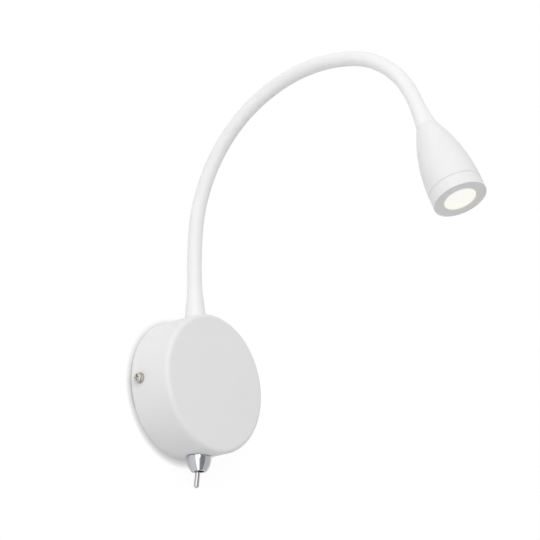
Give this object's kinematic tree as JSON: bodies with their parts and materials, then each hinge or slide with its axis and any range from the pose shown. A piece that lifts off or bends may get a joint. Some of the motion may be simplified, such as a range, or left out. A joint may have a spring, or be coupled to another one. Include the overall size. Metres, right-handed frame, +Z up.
{
  "type": "wall reading lamp with flexible neck",
  "caption": "Wall lamp with a round drum canopy, a toggle switch below, a flexible neck above and a small bullet-shaped LED spot head.",
  "frame": {"origin": "centre of the wall plate's back face, between its wall screw holes, on the wall's surface", "axes": "+X right along the wall, +Y into the wall, +Z up; the lamp stands out towards -Y"},
  "size_m": [0.0962, 0.241, 0.2597],
  "materials": {
    "white_paint": "satin powder coat",
    "white_sleeve": "smooth silicone sleeve",
    "wound_steel": "wound steel strip",
    "zinc_steel": "zinc plated",
    "chrome": "polished",
    "lever_steel": "nickel plated",
    "brass": "plain",
    "black_rubber": "matt",
    "ivory_plastic": "moulded",
    "grey_plastic": "moulded",
    "pad_foam": "foam tape",
    "board_green": "solder mask",
    "lead_brown": "insulated wire",
    "lead_grey": "insulated wire",
    "switch_blue": "moulded",
    "lens_frost": "frosted, lit",
    "holder_white": "moulded reflector",
    "board_white": "solder mask",
    "chip_yellow": "phosphor, lit",
    "sink_aluminium": "turned"
  },
  "bodies": {
    "canopy": {"wall_plate": "zinc_steel", "cable_bushing": "black_rubber", "terminal_block": "ivory_plastic", "terminal_tubes": "brass", "terminal_screws": "zinc_steel", "terminal_fixing_screws": "zinc_steel", "earth_screw": "brass", "canopy": "white_paint", "side_screws": "chrome", "side_screw_washers": "chrome", "driver_case": "grey_plastic", "driver_cover": "grey_plastic", "driver_board": "board_green", "driver_pad": "pad_foam", "mains_leads": "lead_brown", "switch_body": "switch_blue", "switch_bushing": "zinc_steel", "switch_lugs": "brass", "switch_lock_washer": "zinc_steel", "switch_nut": "zinc_steel", "switch_dome_nut": "chrome", "neck_root_ferrule": "zinc_steel", "neck_root_washer": "zinc_steel", "neck_root_nut": "zinc_steel", "neck_sleeve_00": "white_sleeve", "neck_core_00": "wound_steel", "led_lead": "lead_grey"},
    "switch_lever": {"switch_lever": "lever_steel"},
    "switch_rocker": {"switch_rocker": "brass"},
    "neck_1": {"neck_sleeve_01": "white_sleeve", "neck_core_01": "wound_steel"},
    "neck_2": {"neck_sleeve_02": "white_sleeve", "neck_core_02": "wound_steel"},
    "neck_3": {"neck_sleeve_03": "white_sleeve", "neck_core_03": "wound_steel"},
    "neck_4": {"neck_sleeve_04": "white_sleeve", "neck_core_04": "wound_steel"},
    "neck_5": {"neck_sleeve_05": "white_sleeve", "neck_core_05": "wound_steel"},
    "neck_6": {"neck_sleeve_06": "white_sleeve", "neck_core_06": "wound_steel"},
    "neck_7": {"neck_sleeve_07": "white_sleeve", "neck_core_07": "wound_steel"},
    "neck_8": {"neck_sleeve_08": "white_sleeve", "neck_core_08": "wound_steel"},
    "neck_9": {"neck_sleeve_09": "white_sleeve", "neck_core_09": "wound_steel"},
    "head": {"neck_sleeve_10": "white_sleeve", "neck_core_10": "wound_steel", "head_ferrule": "zinc_steel", "head_washer": "zinc_steel", "head_nut": "zinc_steel", "head_shell": "white_paint", "head_ring": "white_paint", "lens": "lens_frost", "lens_holder": "holder_white", "led_board": "board_white", "led_chips": "chip_yellow", "led_screws": "zinc_steel", "heat_sink": "sink_aluminium"}
  },
  "joints": [
    {"name": "lever_throw", "type": "hinge", "parent": "canopy", "child": "switch_lever", "pos_m": [0, -0.015, -0.04756], "axis": [0, -1, 0], "range_deg": [0, 20]},
    {"name": "rocker_tilt", "type": "hinge", "parent": "canopy", "child": "switch_rocker", "pos_m": [0, -0.015, -0.03701], "axis": [0, -1, 0], "range_deg": [-16, 0]},
    {"name": "neck_bend_1", "type": "hinge", "parent": "canopy", "child": "neck_1", "pos_m": [0, -0.015, 0.073], "axis": [1, 0.001, 0.0005], "range_deg": [-15, 12], "deforming": ["led_lead"]},
    {"name": "neck_sway_2", "type": "hinge", "parent": "neck_1", "child": "neck_2", "pos_m": [0, -0.01684, 0.10312], "axis": [0, 0.9925, 0.1219], "range_deg": [-18, 18], "deforming": ["led_lead"]},
    {"name": "neck_bend_3", "type": "hinge", "parent": "neck_2", "child": "neck_3", "pos_m": [0, -0.02513, 0.13204], "axis": [1, 0.001, 0.0005], "range_deg": [-15, 12], "deforming": ["led_lead"]},
    {"name": "neck_sway_4", "type": "hinge", "parent": "neck_3", "child": "neck_4", "pos_m": [0, -0.04195, 0.15697], "axis": [0, 0.7314, 0.682], "range_deg": [-18, 18], "deforming": ["led_lead"]},
    {"name": "neck_bend_5", "type": "hinge", "parent": "neck_4", "child": "neck_5", "pos_m": [0, -0.06565, 0.17549], "axis": [1, 0.001, 0.0005], "range_deg": [-15, 12], "deforming": ["led_lead"]},
    {"name": "neck_sway_6", "type": "hinge", "parent": "neck_5", "child": "neck_6", "pos_m": [0, -0.09369, 0.18646], "axis": [0, 0.2377, 0.9713], "range_deg": [-18, 18], "deforming": ["led_lead"]},
    {"name": "neck_bend_7", "type": "hinge", "parent": "neck_6", "child": "neck_7", "pos_m": [0, -0.12363, 0.18967], "axis": [1, 0.001, 0.0005], "range_deg": [-15, 12], "deforming": ["led_lead"]},
    {"name": "neck_sway_8", "type": "hinge", "parent": "neck_7", "child": "neck_8", "pos_m": [0, -0.15336, 0.1849], "axis": [0, -0.2882, 0.9576], "range_deg": [-18, 18], "deforming": ["led_lead"]},
    {"name": "neck_bend_9", "type": "hinge", "parent": "neck_8", "child": "neck_9", "pos_m": [0, -0.17943, 0.17015], "axis": [1, 0.001, 0.0005], "range_deg": [-15, 12], "deforming": ["led_lead"]},
    {"name": "neck_sway_10", "type": "hinge", "parent": "neck_9", "child": "head", "pos_m": [0, -0.19661, 0.14562], "axis": [0, -0.9255, 0.3786], "range_deg": [-18, 18], "deforming": ["led_lead"]}
  ],
  "couplings": [
    {"joint": "rocker_tilt", "follows": "lever_throw", "ratio": -0.8}
  ]
}
